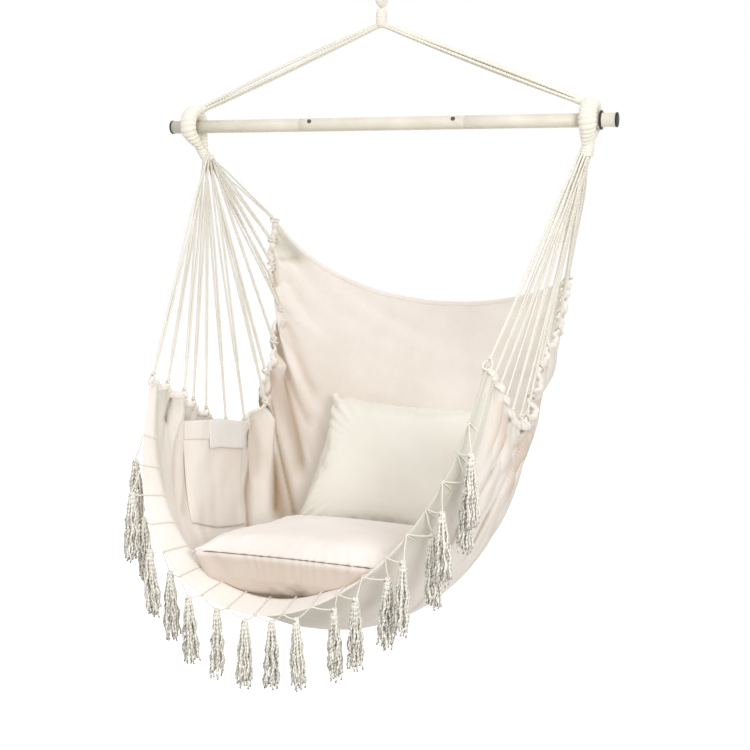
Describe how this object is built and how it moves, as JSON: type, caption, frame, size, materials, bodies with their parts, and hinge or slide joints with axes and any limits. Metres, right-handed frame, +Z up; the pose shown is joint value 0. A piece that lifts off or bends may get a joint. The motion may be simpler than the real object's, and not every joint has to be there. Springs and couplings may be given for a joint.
{
  "type": "hammock chair",
  "caption": "Hanging hammock chair with a canvas sling, loose cushions, a side pocket and a tasselled front hem, hung by cords from a jointed spreader bar and a steel ring.",
  "frame": {"origin": "top inside of the hanging ring, where a hook bears", "axes": "+Z up, the sitter faces -Y, +X to the right in the picture (the sitter's left)"},
  "size_m": [1, 0.7529, 1.4345],
  "materials": {
    "ring_steel": "polished zinc plate",
    "dark_steel": "dark satin spring steel",
    "cream_powder_coat": "satin cream powder coat on steel tube",
    "black_plastic": "matt",
    "cotton_rope": "twisted undyed cotton",
    "canvas": "undyed cotton canvas",
    "cushion_cotton": "brushed undyed cotton cover"
  },
  "bodies": {
    "hanging_ring": {"hanging_ring": "ring_steel"},
    "top_eye": {"top_eye": "cotton_rope"},
    "rope_head": {"rope_head": "cotton_rope", "head_whipping": "cotton_rope"},
    "hammock": {"rope_bundle_left": "cotton_rope", "rope_bundle_right": "cotton_rope", "rope_eye_left": "cotton_rope", "rope_eye_right": "cotton_rope", "eye_wrap_left": "cotton_rope", "eye_wrap_right": "cotton_rope", "neck_whipping_left": "cotton_rope", "neck_whipping_right": "cotton_rope", "body_cords_left": "cotton_rope", "body_cords_right": "cotton_rope", "sling_cloth": "canvas", "front_hem": "canvas", "back_hem": "canvas", "side_casing_left": "canvas", "side_casing_right": "canvas", "pocket_panel": "canvas", "pocket_hem": "canvas", "fringe_cord": "cotton_rope", "tassel_01": "cotton_rope", "tassel_02": "cotton_rope", "tassel_03": "cotton_rope", "tassel_04": "cotton_rope", "tassel_05": "cotton_rope", "tassel_06": "cotton_rope", "tassel_07": "cotton_rope", "tassel_08": "cotton_rope", "tassel_09": "cotton_rope", "tassel_10": "cotton_rope", "tassel_11": "cotton_rope", "tassel_12": "cotton_rope", "tassel_13": "cotton_rope", "tassel_14": "cotton_rope", "tassel_15": "cotton_rope", "tassel_16": "cotton_rope", "tassel_17": "cotton_rope", "tassel_18": "cotton_rope"},
    "spreader_bar": {"bar_centre_tube": "cream_powder_coat", "bar_left_tube": "cream_powder_coat", "bar_right_tube": "cream_powder_coat", "end_cap_left": "black_plastic", "end_cap_right": "black_plastic", "stop_ring_left": "black_plastic", "stop_ring_right": "black_plastic", "button_spring_left": "dark_steel", "button_spring_right": "dark_steel"},
    "snap_button_left": {"snap_button_left": "dark_steel"},
    "snap_button_right": {"snap_button_right": "dark_steel"},
    "seat_cushion": {"seat_cushion": "cushion_cotton"},
    "back_pillow": {"back_pillow": "cushion_cotton"}
  },
  "joints": [
    {"name": "swing", "type": "hinge", "parent": "hanging_ring", "child": "top_eye", "pos_m": [0, 0, -0.054], "axis": [1, 0, 0], "range_deg": [-30, 30]},
    {"name": "sway", "type": "hinge", "parent": "top_eye", "child": "rope_head", "pos_m": [0, 0, -0.08165], "axis": [0, 1, 0], "range_deg": [-10, 10]},
    {"name": "turn", "type": "hinge", "parent": "rope_head", "child": "hammock", "pos_m": [0, 0, -0.122], "axis": [0, 0, 1], "range_deg": [-90, 90], "stiffness_Nm_per_rad": 0.5},
    {"name": "bar_turn", "type": "hinge", "parent": "hammock", "child": "spreader_bar", "pos_m": [0, 0, -0.327], "axis": [1, 0, 0], "continuous": true},
    {"name": "button_left_press", "type": "slide", "parent": "spreader_bar", "child": "snap_button_left", "axis": [0, 0.848, -0.5299], "range_m": [0, 0.004], "stiffness_N_per_m": 1500, "deforming": ["button_spring_left"]},
    {"name": "button_right_press", "type": "slide", "parent": "spreader_bar", "child": "snap_button_right", "axis": [0, 0.848, -0.5299], "range_m": [0, 0.004], "stiffness_N_per_m": 1500, "deforming": ["button_spring_right"]},
    {"name": "seat_cushion_lift", "type": "slide", "parent": "hammock", "child": "seat_cushion", "axis": [0, 0, 1], "range_m": [0, 0.15]},
    {"name": "back_pillow_lift", "type": "slide", "parent": "hammock", "child": "back_pillow", "axis": [0, 0, 1], "range_m": [0, 0.3]}
  ]
}
